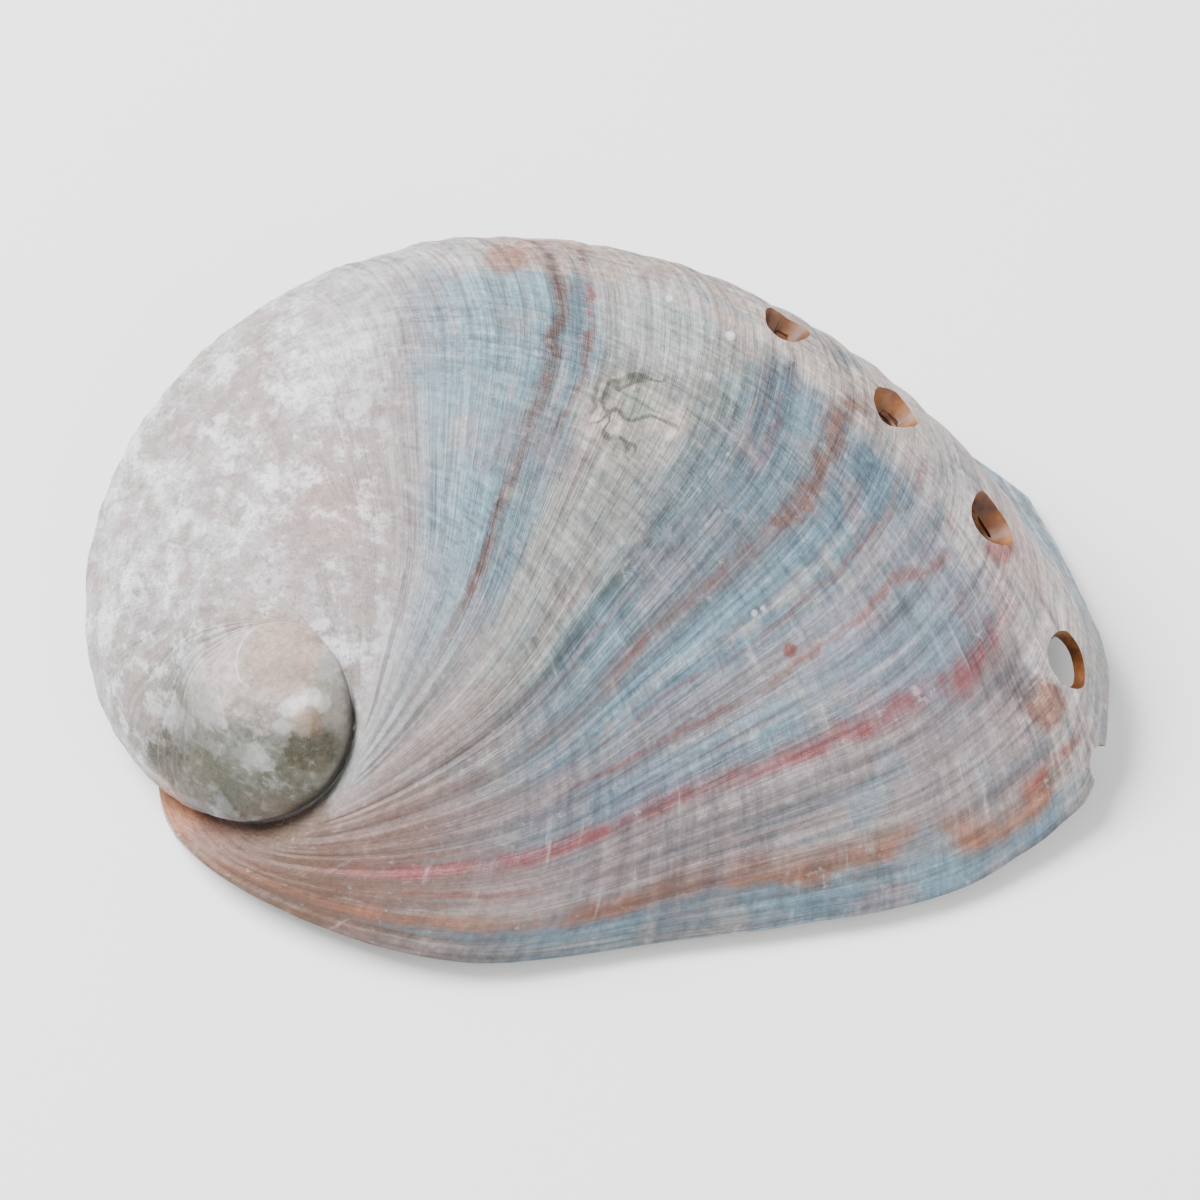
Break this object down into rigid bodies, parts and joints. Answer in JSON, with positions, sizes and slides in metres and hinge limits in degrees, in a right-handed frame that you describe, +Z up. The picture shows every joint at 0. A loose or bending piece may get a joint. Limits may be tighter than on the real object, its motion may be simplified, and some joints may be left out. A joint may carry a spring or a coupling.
{
  "type": "abalone shell",
  "caption": "Ear-shaped abalone shell, an open shallow bowl with a low flattened spire near one end and a row of oval breathing holes along one side.",
  "frame": {"origin": "middle of the bounding box, on the plane the rim rests on", "axes": "+X towards the growing front end, +Y towards the side with the breathing holes, +Z up from the open side to the dome"},
  "size_m": [0.0998, 0.073, 0.029],
  "materials": {
    "shell": "satin, weathered outside, pearly inside"
  },
  "bodies": {
    "root": {"shell": "shell"}
  },
  "joints": []
}
